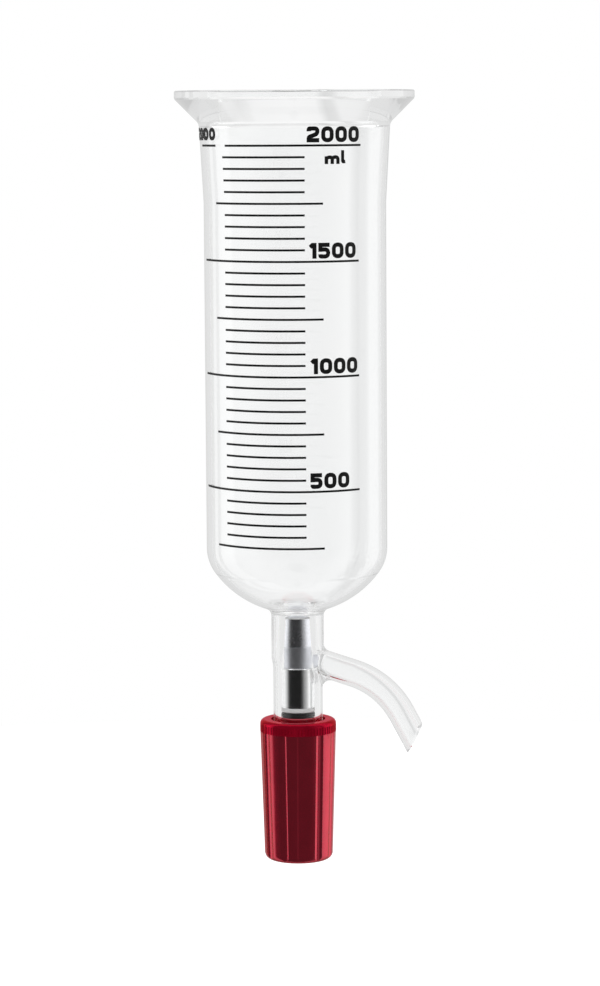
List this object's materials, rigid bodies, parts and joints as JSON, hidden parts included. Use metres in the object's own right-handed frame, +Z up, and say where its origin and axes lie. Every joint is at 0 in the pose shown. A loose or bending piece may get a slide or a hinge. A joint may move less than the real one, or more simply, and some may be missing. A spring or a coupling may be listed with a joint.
{
  "type": "glass reactor vessel with bottom drain valve",
  "caption": "Clear glass cylindrical reactor vessel with flat flange, printed volume scale, dished bottom, red-knob drain valve and curved side outlet.",
  "frame": {"origin": "centre of the flange's ground top face, on the vessel's axis", "axes": "+Z up along the vessel's axis, out of its mouth; +X towards the side outlet; the scale faces -Y"},
  "size_m": [0.1418, 0.138, 0.448],
  "materials": {
    "glass": "polished",
    "enamel_black": "satin",
    "satin_steel": "satin",
    "polished_steel": "polished",
    "white_seal": "satin",
    "black_rubber": "matte",
    "bearing_plastic": "satin",
    "red_anodised": "satin"
  },
  "bodies": {
    "vessel": {"glass_vessel": "glass", "scale_lines": "enamel_black"},
    "spindle": {"valve_plug": "satin_steel", "seat_ring": "white_seal", "spindle_shaft": "polished_steel", "guide_ring": "white_seal", "upper_o_ring": "black_rubber", "lower_o_ring": "black_rubber", "upper_thrust_washer": "bearing_plastic", "lower_thrust_washer": "bearing_plastic", "retaining_screw": "satin_steel"},
    "knob": {"knob_grip": "red_anodised", "knurled_collar": "red_anodised", "threaded_insert": "bearing_plastic", "end_cap": "red_anodised"}
  },
  "joints": [
    {"name": "valve_slide", "type": "slide", "parent": "vessel", "child": "spindle", "axis": [0, 0, -1], "range_m": [0, 0.016]},
    {"name": "knob_turn", "type": "hinge", "parent": "spindle", "child": "knob", "pos_m": [0, 0, -0.4065], "axis": [0, 0, -1], "range_deg": [0, 1440]}
  ],
  "couplings": [
    {"joint": "knob_turn", "follows": "valve_slide", "rad_per_m": 1570.8}
  ]
}
